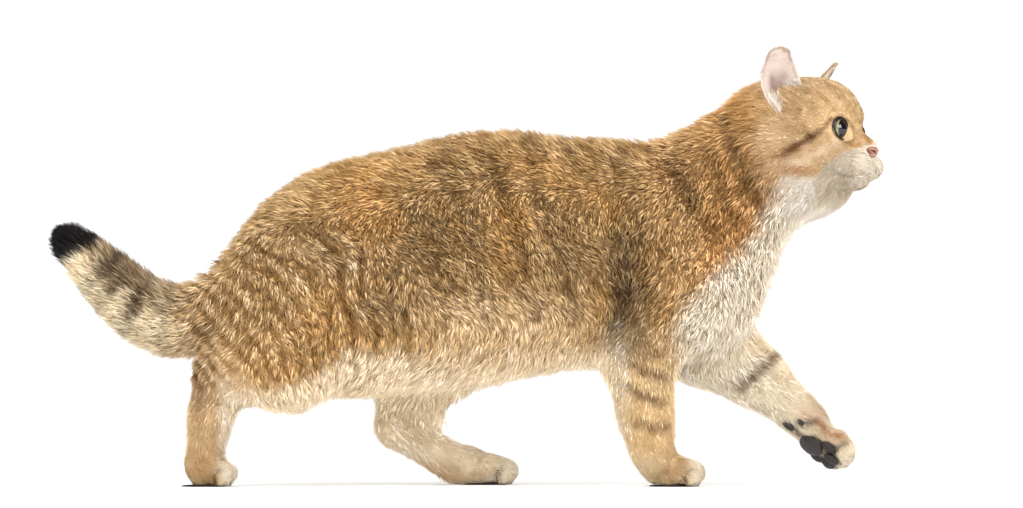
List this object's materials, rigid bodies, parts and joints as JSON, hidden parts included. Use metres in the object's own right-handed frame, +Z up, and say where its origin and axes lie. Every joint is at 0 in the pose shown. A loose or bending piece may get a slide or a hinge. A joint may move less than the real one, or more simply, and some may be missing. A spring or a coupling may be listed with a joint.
{
  "type": "cat",
  "caption": "Life-size still model of a short-haired golden cat, walking with its left forepaw lifted.",
  "frame": {"origin": "middle of the bounding box at floor level, between the feet", "axes": "+X the way the cat faces and walks, +Y to its left, +Z up"},
  "size_m": [0.7323, 0.1662, 0.3813],
  "materials": {
    "coat": "short dense plush fur, golden with dark tipping on the back, cream-white below, black at the tail's tip",
    "ear_skin": "thin pale pink skin with sparse pale hair inside and golden fur behind",
    "eye": "wet and glossy, pale yellow-green iris round a large dark pupil",
    "bare_skin": "bare pebbled skin, pink-brown on the nose and black-brown on the pads"
  },
  "bodies": {
    "root": {"head": "coat", "right_ear": "ear_skin", "left_ear": "ear_skin", "right_eye": "eye", "left_eye": "eye", "nose": "bare_skin", "neck": "coat", "torso": "coat", "tail_base": "coat", "tail_middle": "coat", "tail_tip": "coat", "right_upper_arm": "coat", "right_forearm": "coat", "right_fore_paw": "coat", "left_upper_arm": "coat", "left_forearm": "coat", "left_fore_paw": "coat", "right_thigh": "coat", "right_shank": "coat", "right_hind_paw": "coat", "left_thigh": "coat", "left_shank": "coat", "left_hind_paw": "coat"}
  },
  "joints": []
}
